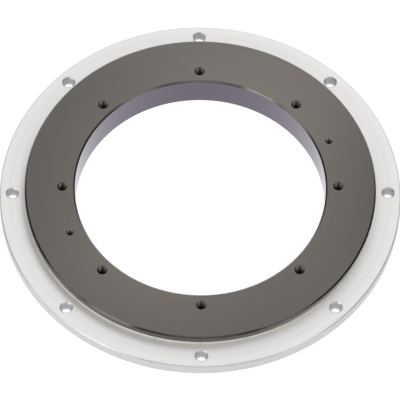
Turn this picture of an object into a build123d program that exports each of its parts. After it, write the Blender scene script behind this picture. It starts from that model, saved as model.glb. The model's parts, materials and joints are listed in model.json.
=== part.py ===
from build123d import *

import math
import os

# Slewing ring with plain polymer bearings. A flat plate ring stays still. A two-piece ring turns
# in it, clamped round its inner edge, and U-shaped polymer sliders carry the load between them.
# Millimetres and degrees. Z is the axis of rotation, and Z = 0 is the underside of the turning ring.

# Turning ring, from the bore outwards
bore_diameter = 150.0
hub_wall = 14.0
flange_reach = 16.0
upper_flange_thickness = 5.0
retainer_thickness = 3.0
spigot_wall = 3.0
ring_edge_chamfer = 1.0
inner_edge_chamfer = 0.4
hub_corner_radius = 0.4

# Plate ring, from the turning ring's rim outwards
plate_thickness = 8.0
bolt_land = 7.5
rim_land = 7.5
plate_edge_chamfer = 0.5
plate_hole_count = 8
plate_hole_diameter = 6.6
plate_hole_chamfer = 0.7

# Holes in the turning ring, measured outwards from the bore
ring_hole_count = 8
tapped_hole_inset = 7.5
tapped_hole_diameter = 5.0
tapped_hole_depth = 12.0
tapped_hole_chamfer = 0.55
clamp_hole_inset = 9.0
clamp_thread_diameter = 3.3
clamp_thread_depth = 11.0
clamp_thread_chamfer = 0.55
drill_point_angle = 118.0

# Countersunk screws that clamp the retaining ring
screw_length = 12.0
screw_head_diameter = 8.0
screw_head_rim = 0.3
screw_core_diameter = 3.2
screw_nominal_diameter = 4.0
screw_head_recess = 0.2
screw_socket_width = 2.5
screw_socket_depth = 1.4
screw_tip_chamfer = 0.5
clamp_clearance_diameter = 4.5

# Polymer sliders
slider_count = 24
slider_wall = 2.45
slider_rim_inset = 0.5
slider_end_gap = 0.4
slider_corner_chamfer = 0.6
slider_lip_chamfer = 0.3
lug_width = 5.0
lug_depth = 3.0

# Clearances
running_clearance = 0.05
axial_play = 0.1
seat_clearance = 0.05
cone_clearance = 0.05

# Radii worked out from the sizes above
bore_radius = bore_diameter / 2
spigot_radius = bore_radius + spigot_wall
hub_radius = bore_radius + hub_wall
flange_radius = hub_radius + flange_reach
bolt_circle_radius = flange_radius + bolt_land
rim_radius = bolt_circle_radius + rim_land
slider_inner_radius = hub_radius + running_clearance
bridge_radius = slider_inner_radius + slider_wall
plate_inner_radius = bridge_radius + seat_clearance
slider_outer_radius = flange_radius - slider_rim_inset
tapped_circle_radius = bore_radius + tapped_hole_inset
clamp_circle_radius = bore_radius + clamp_hole_inset

# Heights worked out from the sizes above
plate_bottom = retainer_thickness + slider_wall
plate_top = plate_bottom + plate_thickness
slider_top = plate_top + slider_wall
flange_bottom = slider_top + axial_play
ring_top = flange_bottom + upper_flange_thickness

# Angles worked out from the counts
hole_pitch = 360.0 / ring_hole_count
clamp_start = hole_pitch / 2
slider_pitch = 360.0 / slider_count
slider_start = slider_pitch / 2


def section(corners, chamfers=(), fillets=()):
    """Face in the XZ plane through (radius, height) corners.

    chamfers and fillets hold (corner index, size) pairs.
    """
    face = make_face(Polyline(*corners, close=True))
    for index, size in chamfers:
        face = chamfer(nearest_vertex(face, corners[index]), size)
    for index, size in fillets:
        face = fillet(nearest_vertex(face, corners[index]), size)
    return Plane.XZ * face


def nearest_vertex(face, corner):
    """Vertex of a flat face that lies at the given (x, y) corner."""
    return face.vertices().sort_by_distance(Vector(*corner))[0]


def turned(corners, chamfers=(), fillets=()):
    """Solid turned about Z from a section of (radius, height) corners."""
    return revolve(section(corners, chamfers, fillets), Axis.Z)


def around(tool, radius, count, start=0.0):
    """Copies of a tool spaced evenly on a circle."""
    return [place * tool for place in PolarLocations(radius, count, start)]


def through_hole(diameter, bottom, top, mouth_chamfer):
    """Cutter for a plain hole from bottom to top, chamfered at both mouths."""
    radius = diameter / 2
    mouth = radius + mouth_chamfer
    corners = [
        (0, bottom),
        (mouth, bottom),
        (radius, bottom + mouth_chamfer),
        (radius, top - mouth_chamfer),
        (mouth, top),
        (0, top),
    ]
    return turned(corners)


def blind_hole(diameter, depth, mouth_chamfer):
    """Cutter for a drilled hole that goes down from Z = 0, with a drill point and a chamfered mouth."""
    radius = diameter / 2
    mouth = radius + mouth_chamfer
    point = Cone(0, radius, drill_point_height(radius), align=(Align.CENTER, Align.CENTER, Align.MAX))
    corners = [
        (0, -depth),
        (radius, -depth),
        (radius, -mouth_chamfer),
        (mouth, 0),
        (0, 0),
    ]
    return turned(corners) + Pos(0, 0, -depth) * point


def drill_point_height(radius):
    """Height of the cone that a drill leaves at the end of a hole."""
    return radius / math.tan(math.radians(drill_point_angle / 2))


def lug_shape(clearance):
    """Outline of a slider's lug, or of its notch, with a round outer end on the X axis."""
    half_width = lug_width / 2 + clearance
    tip = plate_inner_radius + lug_depth + clearance
    root = slider_inner_radius + slider_wall / 2
    straight = tip - half_width - root
    body = Pos(root + straight / 2, 0) * Rectangle(straight, 2 * half_width)
    return body + Pos(root + straight, 0) * Circle(half_width)


def make_plate_ring():
    """Flat plate ring with its bolt holes and a notch for each slider's lug."""
    corners = [
        (plate_inner_radius, plate_bottom),
        (rim_radius, plate_bottom),
        (rim_radius, plate_top),
        (plate_inner_radius, plate_top),
    ]
    edges = [(index, plate_edge_chamfer) for index in (1, 2)]
    ring = turned(corners, edges)
    hole = through_hole(plate_hole_diameter, plate_bottom, plate_top, plate_hole_chamfer)
    notch = extrude(Pos(0, 0, plate_bottom) * lug_shape(seat_clearance), plate_thickness)
    ring -= around(hole, bolt_circle_radius, plate_hole_count)
    return ring - around(notch, 0, slider_count, slider_start)


def make_hub_ring():
    """Upper flange, hub and spigot in one piece, with its tapped holes."""
    corners = [
        (bore_radius, 0),
        (spigot_radius, 0),
        (spigot_radius, retainer_thickness),
        (hub_radius, retainer_thickness),
        (hub_radius, flange_bottom),
        (flange_radius, flange_bottom),
        (flange_radius, ring_top),
        (bore_radius, ring_top),
    ]
    edges = [
        (0, inner_edge_chamfer),
        (5, inner_edge_chamfer),
        (6, ring_edge_chamfer),
        (7, ring_edge_chamfer),
    ]
    ring = turned(corners, edges, [(4, hub_corner_radius)])
    tapped = Pos(0, 0, ring_top) * blind_hole(
        tapped_hole_diameter, tapped_hole_depth, tapped_hole_chamfer
    )
    ring -= around(tapped, tapped_circle_radius, ring_hole_count)
    return ring - clamp_threads()


def clamp_threads():
    """Cutters for the clamp screws' tapped holes: two opposite ones run through to the top face."""
    blind = Pos(0, 0, retainer_thickness) * Rot(180, 0, 0) * blind_hole(
        clamp_thread_diameter, clamp_thread_depth, clamp_thread_chamfer
    )
    open_hole = through_hole(
        clamp_thread_diameter, retainer_thickness, ring_top, clamp_thread_chamfer
    )
    cutters = []
    for index, place in enumerate(PolarLocations(clamp_circle_radius, ring_hole_count, clamp_start)):
        runs_through = index % (ring_hole_count // 2) == 0
        cutters.append(place * (open_hole if runs_through else blind))
    return cutters


def make_retaining_ring():
    """Lower flange that seats on the hub's spigot, countersunk for the clamp screws."""
    inner_radius = spigot_radius + seat_clearance
    corners = [
        (inner_radius, 0),
        (flange_radius, 0),
        (flange_radius, retainer_thickness),
        (inner_radius, retainer_thickness),
    ]
    edges = [
        (0, inner_edge_chamfer),
        (1, ring_edge_chamfer),
        (2, inner_edge_chamfer),
        (3, inner_edge_chamfer),
    ]
    ring = turned(corners, edges)
    return ring - around(countersunk_hole(), clamp_circle_radius, ring_hole_count, clamp_start)


def countersunk_hole():
    """Cutter for one clamp screw: a clearance hole with a 90 degree countersink from below."""
    radius = clamp_clearance_diameter / 2
    seat = screw_head_diameter / 2 + cone_clearance
    seat_bottom = screw_head_recess + screw_head_rim
    corners = [
        (0, 0),
        (seat, 0),
        (seat, seat_bottom),
        (radius, seat_bottom + seat - radius),
        (radius, retainer_thickness),
        (0, retainer_thickness),
    ]
    return turned(corners)


def make_clamp_screw():
    """Countersunk socket screw, head down. Its shank has the thread's core diameter."""
    head = screw_head_diameter / 2
    neck = screw_nominal_diameter / 2
    core = screw_core_diameter / 2
    low = screw_head_recess
    cone_bottom = low + screw_head_rim
    neck_height = cone_bottom + head - neck
    tip = low + screw_length
    corners = [
        (0, low),
        (head, low),
        (head, cone_bottom),
        (neck, neck_height),
        (neck, retainer_thickness),
        (core, retainer_thickness),
        (core, tip),
        (0, tip),
    ]
    screw = turned(corners, [(6, screw_tip_chamfer)])
    socket = RegularPolygon(screw_socket_width / 2, 6, major_radius=False)
    return screw - extrude(Pos(0, 0, low) * socket, screw_socket_depth)


def make_slider():
    """U-shaped polymer slider over the plate ring's inner edge, centred on the X axis."""
    corners = [
        (slider_inner_radius, retainer_thickness),
        (slider_outer_radius, retainer_thickness),
        (slider_outer_radius, plate_bottom),
        (bridge_radius, plate_bottom),
        (bridge_radius, plate_top),
        (slider_outer_radius, plate_top),
        (slider_outer_radius, slider_top),
        (slider_inner_radius, slider_top),
    ]
    edges = [
        (0, slider_corner_chamfer),
        (1, slider_lip_chamfer),
        (6, slider_lip_chamfer),
        (7, slider_corner_chamfer),
    ]
    gap_angle = math.degrees(slider_end_gap / slider_outer_radius)
    arc = slider_pitch - gap_angle
    body = Rot(0, 0, -arc / 2) * revolve(section(corners, edges), Axis.Z, arc)
    lug = extrude(Pos(0, 0, plate_bottom) * lug_shape(0), plate_thickness)
    return body + lug


def write(node, shape):
    """Writes one piece, under its node's name."""
    export_step(shape, f"parts/{node}.step")


os.makedirs("parts", exist_ok=True)
write("plate_ring", make_plate_ring())
write("hub_ring", make_hub_ring())
write("retaining_ring", make_retaining_ring())
screws = around(make_clamp_screw(), clamp_circle_radius, ring_hole_count, clamp_start)
write("clamp_screws", Compound(children=screws))
slider = make_slider()
for number, place in enumerate(PolarLocations(0, slider_count, slider_start), start=1):
    write(f"slider_{number:02d}", place * slider)
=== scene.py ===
# Slewing ring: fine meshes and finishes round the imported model.
# The classes hold sizes in millimetres and degrees. A mesh is in metres, in the model's own frame.
import json
import logging
import math
from dataclasses import dataclass
from enum import Enum
from typing import Any, Callable, Mapping, NamedTuple, Sequence

import bmesh
import bpy
from mathutils import Matrix, Vector
from mathutils.geometry import delaunay_2d_cdt


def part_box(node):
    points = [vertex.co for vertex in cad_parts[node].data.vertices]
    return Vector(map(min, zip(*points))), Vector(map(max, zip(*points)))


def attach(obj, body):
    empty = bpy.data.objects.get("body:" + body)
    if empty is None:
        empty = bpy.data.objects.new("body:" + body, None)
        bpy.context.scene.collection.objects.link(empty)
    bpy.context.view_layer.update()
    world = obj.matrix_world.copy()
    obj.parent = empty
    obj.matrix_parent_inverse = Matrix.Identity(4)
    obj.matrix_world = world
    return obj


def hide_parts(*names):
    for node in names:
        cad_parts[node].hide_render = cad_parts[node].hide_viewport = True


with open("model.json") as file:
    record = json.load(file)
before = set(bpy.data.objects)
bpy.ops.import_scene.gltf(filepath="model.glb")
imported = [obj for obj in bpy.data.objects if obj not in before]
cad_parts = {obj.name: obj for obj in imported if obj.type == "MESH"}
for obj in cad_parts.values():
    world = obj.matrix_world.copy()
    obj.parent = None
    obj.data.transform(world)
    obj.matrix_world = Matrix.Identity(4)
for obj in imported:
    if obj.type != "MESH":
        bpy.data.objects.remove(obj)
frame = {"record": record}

LOG = logging.getLogger("slewing_ring")

MM = 0.001
FULL_TURN = 2 * math.pi

# Fineness of the meshes: faces round a ring and over an edge, and the angle of a sharp edge.
RING_STEPS = 384
EDGE_STEPS = 3
SHARP_ANGLE = 38.0

# Radius that breaks an edge, and the share of the stretches beside it that it may take up.
EDGE_BREAK = 0.08
BREAK_SHARE = 0.45

# Points nearer than the first are one, and an edge shorter than the second has no length.
MERGE_DISTANCE = 0.0015
NO_LENGTH = 0.00015

# Heights that agree to this many decimal places are the same.
HEIGHT_DIGITS = 6

# How a flat fill is made: with its openings left out, and how near two of its points may lie.
FILL_HOLES_OUT = 2
FILL_TOLERANCE = 1e-6

# Range that noise mostly keeps to, and its middle.
NOISE_RANGE = (0.3, 0.7)
NOISE_MIDDLE = 0.5

# Numbers of the sockets of a Mix node that mixes colours.
MIX_SHARE = 0
MIX_FIRST = 6
MIX_SECOND = 7
MIX_RESULT = 2

HEXAGON_SIDES = 6

Colour = tuple[float, float, float]
Flat = tuple[float, float]
Node = bpy.types.Node
Socket = bpy.types.NodeSocket

WHITE: Colour = (1.0, 1.0, 1.0)


class Body(Enum):
    """Bodies that pieces ride on."""

    FIXED = "fixed_ring"
    TURNING = "turning_ring"


class Slot(Enum):
    """Material slots of the record."""

    CLEAR_ANODISED = "clear_anodised"
    DARK_ANODISED = "dark_anodised"
    SLIDER_POLYMER = "slider_polymer"
    SCREW_STEEL = "screw_steel"


class Mark(Enum):
    """What a mesh marks at its points, for the finishes to read."""

    EDGE = "worked_edge"
    DEPTH = "hole_depth"


class Spot(NamedTuple):
    """A point of a mesh, in millimetres, with how far it lies on a worked edge and down a hole."""

    x: float
    y: float
    z: float
    edge: float = 0.0
    depth: float = 0.0


class SectionPoint(NamedTuple):
    """A point of a turned section, with how far it lies on a worked edge, from 0 to 1."""

    radius: float
    height: float
    edge: float = 0.0


@dataclass(frozen=True)
class Corner:
    """A corner of a turned section, with its chamfer's leg and the radius that breaks its edges.

    worked says how much its chamfer shows as a worked edge, from 0 to 1.
    """

    radius: float
    height: float
    chamfer: float = 0.0
    soft: float = EDGE_BREAK
    worked: float = 1.0

    def place(self) -> Vector:
        """The corner as a flat vector of radius and height."""
        return Vector((self.radius, self.height))


def polar(radius: float, angle: float) -> Flat:
    """The flat point at a radius and an angle, in radians, about the axis of rotation."""
    return (radius * math.cos(angle), radius * math.sin(angle))


def mount_sizes(name: str) -> Mapping[str, Any]:
    """Reads a mount's sizes from the record.

    Args:
        name: the mount's name.

    Returns:
        Its sizes, in millimetres.
    """
    return next(mount["dims"] for mount in frame["record"]["mounts"] if mount["name"] == name)


@dataclass(frozen=True)
class HolePattern:
    """Like holes spaced evenly on a circle about the axis of rotation."""

    circle_radius: float
    hole_radius: float
    count: int
    start: float = 0.0

    @classmethod
    def from_mount(cls, name: str) -> "HolePattern":
        """Reads a bolt pattern from the record.

        Args:
            name: the mount's name.

        Returns:
            The pattern, in millimetres.
        """
        sizes = mount_sizes(name)
        return cls(sizes["pcd_mm"] / 2, sizes["hole_r_mm"], sizes["count"])

    def angle(self, index: int) -> float:
        """Angle of one hole, in radians."""
        return math.radians(self.start + index * 360.0 / self.count)

    def centres(self) -> list[Flat]:
        """Centres of the holes, in order."""
        return [polar(self.circle_radius, self.angle(index)) for index in range(self.count)]


class Knee(NamedTuple):
    """A bend of a section, with the radius that breaks it.

    worked_before and worked_after say how much the stretches beside it show as a worked edge.
    """

    place: Vector
    soft: float
    worked_before: float = 0.0
    worked_after: float = 0.0


def chamfered(corners: Sequence[Corner]) -> list[Knee]:
    """Finds a section's bends: one for a plain corner, and two for a chamfered one.

    Args:
        corners: corners of an open section. The first and the last only give directions.

    Returns:
        The bends, in order.
    """
    knees = []
    for before, corner, after in zip(corners, corners[1:], corners[2:]):
        here = corner.place()
        if corner.chamfer:
            back = (before.place() - here).normalized() * corner.chamfer
            ahead = (after.place() - here).normalized() * corner.chamfer
            knees.append(Knee(here + back, corner.soft, worked_after=corner.worked))
            knees.append(Knee(here + ahead, corner.soft, worked_before=corner.worked))
        else:
            knees.append(Knee(here, corner.soft))
    return knees


def section(corners: Sequence[Corner]) -> list[SectionPoint]:
    """Draws an open section, with its corners chamfered and all its edges slightly rounded.

    Args:
        corners: corners of the section. The first and the last only give the direction of the
            flats there, and are left out.

    Returns:
        The section's points, from the flat at its start to the flat at its end.
    """
    knees = chamfered(corners)
    path = [corners[0].place(), *[knee.place for knee in knees], corners[-1].place()]
    points = []
    for before, knee, after in zip(path, knees, path[2:]):
        back = before - knee.place
        ahead = after - knee.place
        longest = BREAK_SHARE * min(back.length, ahead.length)
        reach = min(knee.soft * math.tan(back.angle(-ahead) / 2), longest)
        start = knee.place + back.normalized() * reach
        end = knee.place + ahead.normalized() * reach
        for step in range(EDGE_STEPS + 1):
            share = step / EDGE_STEPS
            rest = 1 - share
            spot = start * rest * rest + knee.place * 2 * share * rest + end * share * share
            edge = knee.worked_before * rest + knee.worked_after * share
            # The rounding of a plain edge shows most at its middle.
            if knee.worked_before == knee.worked_after:
                edge = 4 * share * rest
            points.append(SectionPoint(spot.x, spot.y, edge))
    return points


def subdivided(points: Sequence[SectionPoint], longest: float) -> list[SectionPoint]:
    """Adds points to the long stretches of a section.

    Args:
        points: the section.
        longest: how long a stretch may be.

    Returns:
        The section with the points that its long stretches lacked.
    """
    result = [points[0]]
    for before, after in zip(points, points[1:]):
        length = math.hypot(after.radius - before.radius, after.height - before.height)
        steps = max(1, math.ceil(length / longest))
        for step in range(1, steps + 1):
            share = step / steps
            result.append(SectionPoint(*(a + (b - a) * share for a, b in zip(before, after))))
    return result


def circle(radius: float, steps: int, centre: Flat = (0.0, 0.0)) -> list[Flat]:
    """Points of a circle, counter-clockwise from +X.

    Args:
        radius: the circle's radius.
        steps: how many points it has.
        centre: its centre.

    Returns:
        The points.
    """
    angles = [FULL_TURN * step / steps for step in range(steps)]
    return [(centre[0] + radius * math.cos(a), centre[1] + radius * math.sin(a)) for a in angles]


def turned_about(point: Flat, angle: float) -> Flat:
    """Turns a flat point about the axis of rotation.

    Args:
        point: the point.
        angle: the angle, in radians.

    Returns:
        The turned point.
    """
    cosine, sine = math.cos(angle), math.sin(angle)
    return (point[0] * cosine - point[1] * sine, point[0] * sine + point[1] * cosine)


class Draft:
    """A mesh in the making, from grids and flat fills that meet at shared points."""

    def __init__(self) -> None:
        """Starts an empty mesh."""
        self.spots: list[Spot] = []
        self.faces: list[tuple[int, ...]] = []

    def add_grid(self, rows: Sequence[Sequence[Spot]], closed: bool) -> None:
        """Adds a four-sided face between each two neighbours of each two rows.

        Args:
            rows: rows of points, each as long as the next.
            closed: whether the last point of a row joins its first.
        """
        first = len(self.spots)
        width = len(rows[0])
        for row in rows:
            self.spots.extend(row)
        for line in range(len(rows) - 1):
            for column in range(width if closed else width - 1):
                a = first + line * width + column
                b = first + line * width + (column + 1) % width
                self.faces.append((a, b, b + width, a + width))

    def add_turned(self, points: Sequence[SectionPoint], steps: int, centre: Flat = (0.0, 0.0)) -> None:
        """Adds a surface turned about an upright axis.

        Args:
            points: the section.
            steps: how many faces go round.
            centre: where the axis stands.
        """
        rows = []
        for point in points:
            ring = circle(point.radius, steps, centre)
            rows.append([Spot(x, y, point.height, point.edge) for x, y in ring])
        self.add_grid(rows, closed=True)

    def add_wall(self, outline: Sequence[Flat], bottom: float, top: float, closed: bool = True) -> None:
        """Adds an upright wall along an outline.

        Args:
            outline: the wall's points.
            bottom: height of its lower edge.
            top: height of its upper edge.
            closed: whether the outline's last point joins its first.
        """
        self.add_grid([[Spot(x, y, z) for x, y in outline] for z in (bottom, top)], closed)

    def add_fill(self, outline: Sequence[Flat], openings: Sequence[Sequence[Flat]], height: float) -> None:
        """Adds a flat face at one height.

        Args:
            outline: the face's outer edge.
            openings: the edges of the openings in it.
            height: the face's height.
        """
        points: list[Vector] = []
        loops: list[list[int]] = []
        for loop in (outline, *openings):
            loops.append(list(range(len(points), len(points) + len(loop))))
            points.extend(Vector(point) for point in loop)
        filled = delaunay_2d_cdt(points, [], loops, FILL_HOLES_OUT, FILL_TOLERANCE)
        base = len(self.spots)
        self.spots.extend(Spot(place.x, place.y, height) for place in filled[0])
        self.faces.extend(tuple(base + index for index in face) for face in filled[2])

    def mark_depth(self, first: int, depth_at: Callable[[float], float]) -> None:
        """Marks how far down a hole the newest points lie.

        Args:
            first: number of the first of them.
            depth_at: gives the depth from a height.
        """
        self.spots[first:] = [spot._replace(depth=depth_at(spot.z)) for spot in self.spots[first:]]

    def add_cap(self, spots: Sequence[Spot]) -> None:
        """Adds one flat face.

        Args:
            spots: the points round it.
        """
        base = len(self.spots)
        self.spots.extend(spots)
        self.faces.append(tuple(range(base, base + len(spots))))

    def build(self, name: str, material: bpy.types.Material) -> bpy.types.Object:
        """Makes the mesh and its object.

        Args:
            name: the object's name.
            material: its finish.

        Returns:
            The object, smooth but for its sharp edges.
        """
        mesh = bpy.data.meshes.new(name)
        mesh.from_pydata([(s.x * MM, s.y * MM, s.z * MM) for s in self.spots], [], self.faces)
        for mark, values in (
            (Mark.EDGE, [s.edge for s in self.spots]),
            (Mark.DEPTH, [s.depth for s in self.spots]),
        ):
            mesh.attributes.new(mark.value, "FLOAT", "POINT").data.foreach_set("value", values)
        work = bmesh.new()
        work.from_mesh(mesh)
        bmesh.ops.remove_doubles(work, verts=work.verts, dist=MERGE_DISTANCE * MM)
        bmesh.ops.dissolve_degenerate(work, edges=work.edges, dist=NO_LENGTH * MM)
        bmesh.ops.recalc_face_normals(work, faces=work.faces)
        work.to_mesh(mesh)
        work.free()
        mesh.shade_smooth()
        mesh.set_sharp_from_angle(angle=math.radians(SHARP_ANGLE))
        mesh.materials.append(material)
        piece = bpy.data.objects.new(name, mesh)
        bpy.context.scene.collection.objects.link(piece)
        shading = piece.modifiers.new("even shading", "WEIGHTED_NORMAL")
        shading.keep_sharp = True
        return piece


def place_piece(piece: bpy.types.Object, body: Body, slot: Slot, *nodes: str) -> None:
    """Puts a finished piece on its body, in place of the plain nodes that it stands for.

    Args:
        piece: the piece.
        body: the body that carries it.
        slot: the record's slot that its finish is; not used.
        nodes: the plain nodes that it replaces.
    """
    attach(piece, body.value)
    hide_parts(*nodes)
    LOG.info("%s: %d faces, replaces %s", piece.name, len(piece.data.polygons), ", ".join(nodes))


@dataclass(frozen=True)
class Thread:
    """Metric thread, as a surface that follows its helix in a hole or round a shank."""

    minor_radius: float
    major_radius: float
    pitch: float
    crest_share: float = 0.25
    flank_share: float = 0.3125
    turn_steps: int = 40

    def row_shares(self) -> list[float]:
        """Where the rows of one turn lie: at the bends of the thread and between them.

        Returns:
            Each row's place, as a share of the pitch.
        """
        rise = self.crest_share
        root = rise + self.flank_share
        fall = 1.0 - self.flank_share
        return [0.0, rise / 2, rise, (rise + root) / 2, root, fall, (fall + 1.0) / 2]

    def radius_at(self, height: float, turn: float) -> float:
        """Radius of the thread's surface.

        Args:
            height: height of the point.
            turn: how far round it lies, in whole turns.

        Returns:
            The radius there.
        """
        phase = (height / self.pitch - turn) % 1.0
        rise = (phase - self.crest_share) / self.flank_share
        fall = (1.0 - phase) / self.flank_share
        depth = max(0.0, min(rise, fall, 1.0))
        return self.minor_radius + (self.major_radius - self.minor_radius) * depth

    def add_surface(
        self,
        draft: Draft,
        centre: Flat,
        bottom: float,
        top: float,
        shape: Callable[[float, float], float],
    ) -> None:
        """Adds the threaded surface between two heights, in rows that follow the helix.

        Args:
            draft: the mesh that it goes into.
            centre: where the thread's axis stands.
            bottom: its lower end.
            top: its upper end.
            shape: gives the radius from a height and the thread's own radius there.
        """
        rows = []
        first = math.floor(bottom / self.pitch) - 1
        last = math.ceil(top / self.pitch) + 1
        for number in range(first, last):
            for share in self.row_shares():
                row = []
                for step in range(self.turn_steps + 1):
                    turn = step / self.turn_steps
                    height = min(max(self.pitch * (number + share + turn), bottom), top)
                    radius = shape(height, self.radius_at(height, turn))
                    angle = FULL_TURN * turn
                    x = centre[0] + radius * math.cos(angle)
                    y = centre[1] + radius * math.sin(angle)
                    row.append(Spot(x, y, height))
                rows.append(row)
        self.add_rows(draft, rows)

    def add_rows(self, draft: Draft, rows: list[list[Spot]]) -> None:
        """Adds the rows, without the faces that both ends squeeze flat.

        Args:
            draft: the mesh that they go into.
            rows: the rows.
        """
        start = len(draft.faces)
        draft.add_grid(rows, closed=False)
        kept = []
        for face in draft.faces[start:]:
            heights = {round(draft.spots[index].z, HEIGHT_DIGITS) for index in face}
            if len(heights) > 1:
                kept.append(face)
        draft.faces[start:] = kept


def fade(value: float, start: float, end: float) -> float:
    """Smooth step from 0 at start to 1 at end.

    Args:
        value: where to read it.
        start: where it leaves 0.
        end: where it reaches 1.

    Returns:
        The step's height there.
    """
    share = max(0.0, min(1.0, (value - start) / (end - start)))
    return share * share * (3 - 2 * share)


@dataclass(frozen=True)
class TappedHole:
    """Blind tapped hole that opens upwards or downwards, or a tapped hole that goes right through."""

    thread: Thread
    bottom: float
    top: float
    chamfer: float
    opens_down: bool = False
    opens_up: bool = True
    drill_depth: float = 12.0
    thread_depth: float = 10.0
    runout: float = 0.9
    drill_point: float = 118.0

    def mouth_radius(self) -> float:
        """Radius of the chamfer where it meets the flat."""
        return self.thread.minor_radius + self.chamfer

    def mouth(self, centre: Flat) -> list[Flat]:
        """Edge of the hole's mouth in the flat round it."""
        return circle(self.mouth_radius(), self.thread.turn_steps, centre)

    def add_to(self, draft: Draft, centre: Flat) -> None:
        """Adds the hole's wall and, in a blind hole, its drilled end.

        Args:
            draft: the mesh that it goes into.
            centre: where the hole's axis stands.
        """
        low, high = self.bottom, self.top
        first = len(draft.spots)
        if not self.opens_down:
            low = self.top - self.thread_depth - self.runout
            self.add_end(draft, centre, low, self.top - self.drill_depth, -1.0)
        if not self.opens_up:
            high = self.bottom + self.thread_depth + self.runout
            self.add_end(draft, centre, high, self.bottom + self.drill_depth, 1.0)
        self.thread.add_surface(draft, centre, low, high, self.wall_radius)
        draft.mark_depth(first, self.depth_at)

    def depth_at(self, height: float) -> float:
        """How far below the nearest open mouth's chamfer a height lies.

        Args:
            height: the height.

        Returns:
            The depth there in radii of the hole, 0 on the chamfer.
        """
        depths = []
        if self.opens_up:
            depths.append(self.top - height)
        if self.opens_down:
            depths.append(height - self.bottom)
        return max(0.0, min(depths) - self.chamfer) / self.thread.minor_radius

    def wall_radius(self, height: float, thread_radius: float) -> float:
        """Radius of the wall: the thread, cut away by the chamfers and fading at a blind end.

        Args:
            height: height of the point.
            thread_radius: the full thread's radius there.

        Returns:
            The wall's radius there.
        """
        depth = thread_radius - self.thread.minor_radius
        if not self.opens_down:
            end = self.top - self.thread_depth
            depth *= fade(height, end - self.runout, end)
        if not self.opens_up:
            end = self.bottom + self.thread_depth
            depth *= fade(height, end + self.runout, end)
        radius = self.thread.minor_radius + depth
        if self.opens_up:
            radius = max(radius, self.mouth_radius() - (self.top - height))
        if self.opens_down:
            radius = max(radius, self.mouth_radius() - (height - self.bottom))
        return radius

    def add_end(self, draft: Draft, centre: Flat, start: float, end: float, way: float) -> None:
        """Adds the plain bore past the thread and the cone that the drill leaves.

        Args:
            draft: the mesh that it goes into.
            centre: where the hole's axis stands.
            start: where the plain bore starts.
            end: where the cone starts.
            way: 1 where the hole goes up, -1 where it goes down.
        """
        radius = self.thread.minor_radius
        point = radius / math.tan(math.radians(self.drill_point / 2))
        profile = [
            SectionPoint(radius, start),
            SectionPoint(radius, end),
            SectionPoint(0.0, end + way * point),
        ]
        draft.add_turned(profile, self.thread.turn_steps, centre)


@dataclass(frozen=True)
class Lug:
    """Lug of a slider, with a round outer end, or the notch that it seats in."""

    foot_radius: float
    tip_radius: float
    half_width: float
    steps: int = 14

    def outline(self, angle: float) -> list[Flat]:
        """Points round the lug, from its clockwise side to the other.

        Args:
            angle: where the lug stands, in radians.

        Returns:
            The points, from foot to foot.
        """
        foot = math.sqrt(self.foot_radius**2 - self.half_width**2)
        centre = self.tip_radius - self.half_width
        points = [(foot, -self.half_width)]
        for step in range(self.steps + 1):
            swing = math.pi * (step / self.steps - 0.5)
            x = centre + self.half_width * math.cos(swing)
            points.append((x, self.half_width * math.sin(swing)))
        points.append((foot, self.half_width))
        return [turned_about(point, angle) for point in points]

    def half_angle(self) -> float:
        """Half of the angle that the lug takes up at its foot, in radians."""
        return math.asin(self.half_width / self.foot_radius)


def arc(radius: float, start: float, end: float, steps: int) -> list[Flat]:
    """Points of an arc about the axis of rotation.

    Args:
        radius: the arc's radius.
        start: where it starts, in radians.
        end: where it ends, in radians.
        steps: how many stretches it has.

    Returns:
        The points, both ends included.
    """
    return [polar(radius, start + (end - start) * step / steps) for step in range(steps + 1)]


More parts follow.
